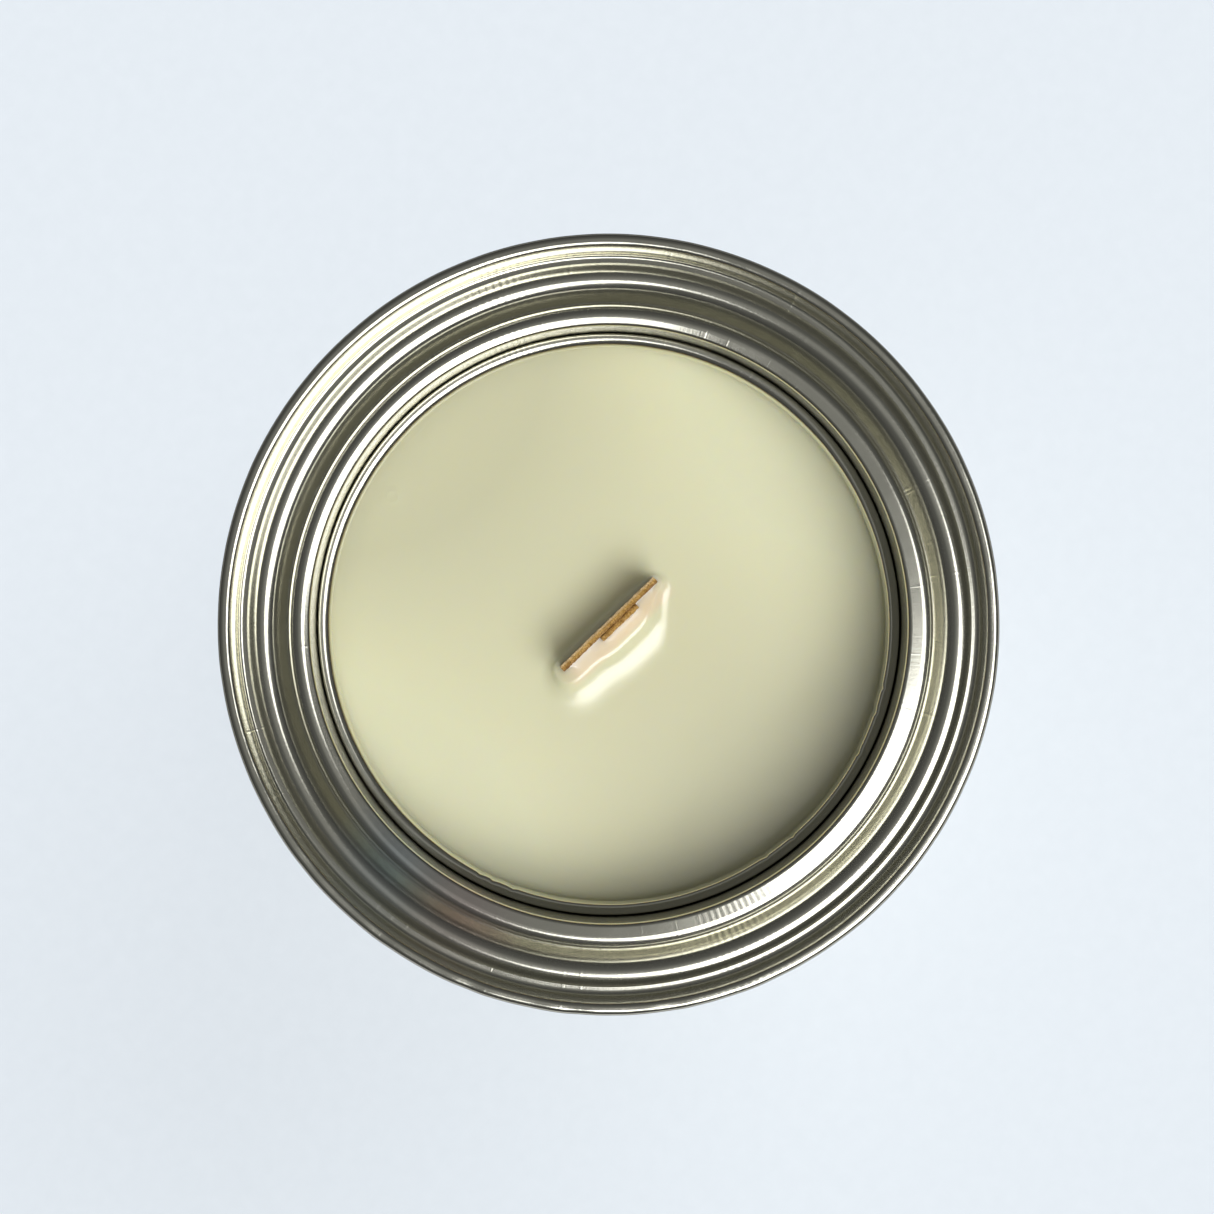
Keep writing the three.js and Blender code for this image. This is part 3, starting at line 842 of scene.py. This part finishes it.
def add_camera():
    data = bpy.data.cameras.new("camera")
    data.sensor_width = 36
    data.lens = 36 * CAMERA_HEIGHT / FRAME_WIDTH
    data.clip_end = 10
    camera = bpy.data.objects.new("camera", data)
    place = turned_by(CAMERA_SHIFT, -WICK_TURN)
    camera.location = Vector((place.x, place.y, RIM + CAMERA_HEIGHT)) * MM
    camera.rotation_euler = (0, 0, -WICK_TURN)
    scene.collection.objects.link(camera)
    scene.camera = camera


def add_light(name, kind, away, lit, shadow=True):
    """A light that comes from a direction and falls on some objects only."""
    data = bpy.data.lights.new(name, kind)
    data.use_shadow = shadow
    light = bpy.data.objects.new(name, data)
    light.rotation_mode = "QUATERNION"
    light.rotation_quaternion = away.to_track_quat("Z", "Y")
    scene.collection.objects.link(light)
    receivers = bpy.data.collections.new(name + "_falls_on")
    for piece in lit:
        receivers.objects.link(piece)
    light.light_linking.receiver_collection = receivers
    return light


def add_window(azimuth, elevation, distance, width, height, radiance):
    away = toward(azimuth, elevation)
    light = add_light("window", "AREA", away, TIN_PIECES)
    light.location = Vector((0, 0, RIM * MM)) + away * distance
    light.data.shape = "RECTANGLE"
    light.data.size, light.data.size_y = width, height
    light.data.energy = radiance * math.pi * width * height


def add_wax_light(azimuth, elevation):
    """More daylight from the window's side, on the wax and the wick alone."""
    soft = [o for o in TIN_PIECES if o.name in ("wax_body", "blade_strip", "booster_strip")]
    light = add_light("wax_daylight", "SUN", toward(azimuth, elevation), soft)
    light.data.angle = math.radians(44)
    light.data.energy = 0.84
    glow = add_light("wax_room_light", "SUN", Vector((0, 0, 1)), soft)
    glow.data.angle = math.radians(150)
    glow.data.energy = 0.29


def add_floor_lights(floor):
    """An even wash from above, and a broad soft light that leaves a faint shadow at lower left."""
    wash = add_light("floor_wash", "SUN", Vector((0, 0, 1)), [floor], shadow=False)
    wash.data.energy = 2.6
    key = add_light("floor_key", "SUN", toward(50, 38), [floor])
    key.data.angle = math.radians(50)
    key.data.energy = 0.45


def add_world():
    """A dim room: light overhead, dark at eye level, and a pale table, brighter on one side."""
    world = bpy.data.worlds.new("studio")
    world.use_nodes = True
    tree = world.node_tree
    place = tree.nodes.new("ShaderNodeTexCoord")
    from_booster_seam = tree.nodes.new("ShaderNodeSeparateXYZ")
    half = tree.nodes.new("ShaderNodeMapRange")
    half.inputs["From Min"].default_value = -1
    ramp = tree.nodes.new("ShaderNodeValToRGB")
    path = tree.nodes.new("ShaderNodeLightPath")
    backdrop = tree.nodes.new("ShaderNodeMix")
    backdrop.data_type = "RGBA"
    backdrop.inputs[7].default_value = (*FLOOR_COLOUR, 1)
    tree.links.new(place.outputs["Generated"], from_booster_seam.inputs[0])
    tree.links.new(from_booster_seam.outputs["Z"], half.inputs["Value"])
    tree.links.new(half.outputs["Result"], ramp.inputs["Fac"])
    tree.links.new(ramp.outputs["Color"], backdrop.inputs[6])
    tree.links.new(path.outputs["Is Camera Ray"], backdrop.inputs[0])
    tree.links.new(backdrop.outputs[2], tree.nodes["Background"].inputs["Color"])
    sideways = tree.nodes.new("ShaderNodeVectorMath")
    sideways.operation = "DOT_PRODUCT"
    sideways.inputs[1].default_value = toward(*BRIGHT_SIDE)
    across = tree.nodes.new("ShaderNodeMapRange")
    across.interpolation_type = "SMOOTHSTEP"
    across.inputs["From Min"].default_value = -0.5
    across.inputs["To Min"].default_value = 0.3
    above = tree.nodes.new("ShaderNodeMath")
    above.operation = "GREATER_THAN"
    above.inputs[1].default_value = -0.04
    strength = tree.nodes.new("ShaderNodeMath")
    strength.operation = "MAXIMUM"
    tree.links.new(place.outputs["Generated"], sideways.inputs[0])
    tree.links.new(sideways.outputs["Value"], across.inputs["Value"])
    tree.links.new(from_booster_seam.outputs["Z"], above.inputs[0])
    tree.links.new(across.outputs["Result"], strength.inputs[0])
    tree.links.new(above.outputs["Value"], strength.inputs[1])
    tree.links.new(strength.outputs["Value"], tree.nodes["Background"].inputs["Strength"])
    stops = ramp.color_ramp.elements
    stops[0].position, stops[0].color = ROOM_GLOW[0][0], (*ROOM_GLOW[0][1], 1)
    stops[1].position, stops[1].color = ROOM_GLOW[-1][0], (*ROOM_GLOW[-1][1], 1)
    for position, colour in ROOM_GLOW[1:-1]:
        stops.new(position).color = (*colour, 1)
    scene.world = world


floor = add_floor()
add_camera()
add_world()
add_window(WINDOW_AZIMUTH, 59.8, distance=1.6, width=1.36, height=1.06, radiance=3.4)
add_wax_light(WINDOW_AZIMUTH, 50)
add_floor_lights(floor)
